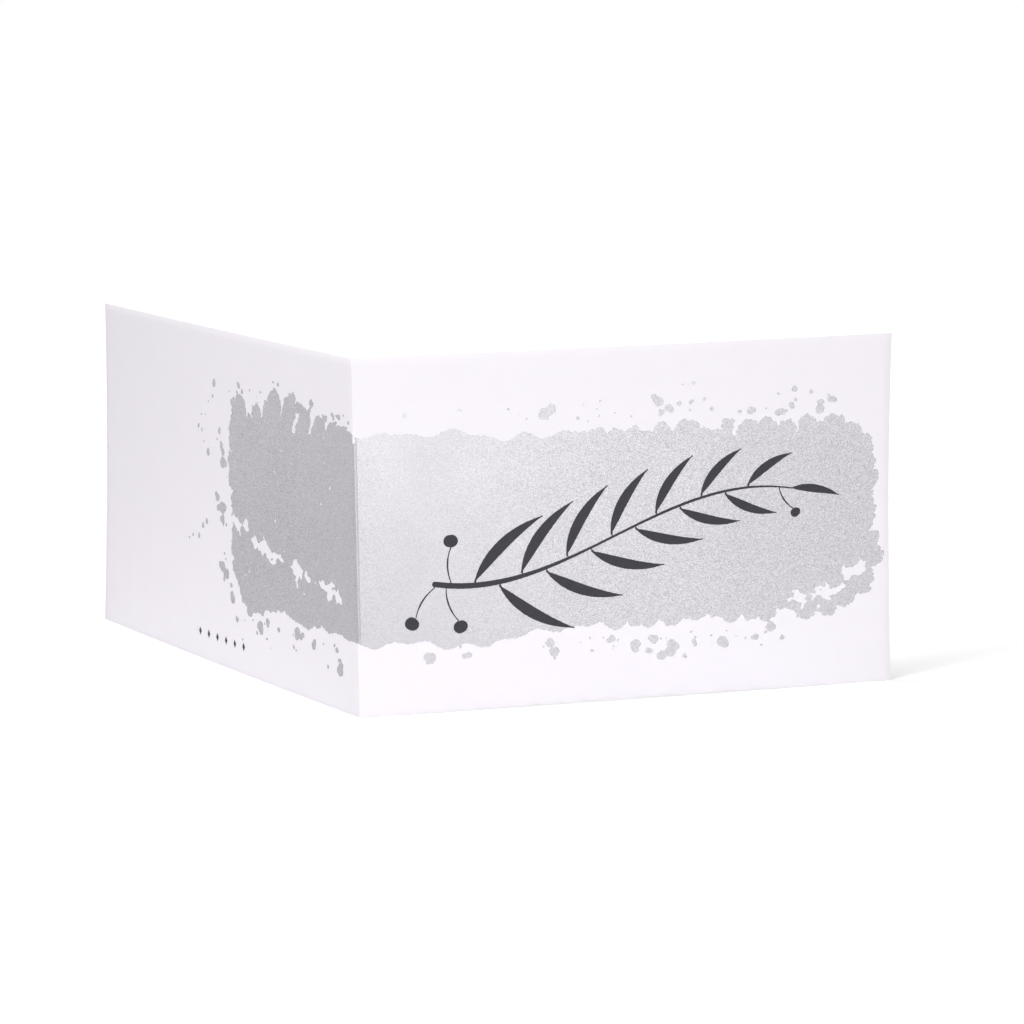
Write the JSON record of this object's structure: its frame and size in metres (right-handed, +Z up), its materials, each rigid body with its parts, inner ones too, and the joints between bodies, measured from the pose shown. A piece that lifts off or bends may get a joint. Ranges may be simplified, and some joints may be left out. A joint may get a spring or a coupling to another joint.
{
  "type": "greeting card",
  "caption": "Folded greeting card standing open on its lower edges, with a brushed silver band around the fold, a charcoal sprig on the front cover and a small ornament on the back.",
  "frame": {"origin": "foot of the fold, on the surface the card stands on", "axes": "+Z up along the fold, +Y along the middle of the opening between the covers, away from the picture side, +X towards the front cover's free edge side"},
  "size_m": [0.2798, 0.1002, 0.11],
  "materials": {
    "white_board": "matte",
    "silver_ink": "satin",
    "charcoal_ink": "matte"
  },
  "bodies": {
    "root": {"card": "white_board", "silver_band": "silver_ink", "ink_sprig": "charcoal_ink", "back_mark": "charcoal_ink"}
  },
  "joints": []
}
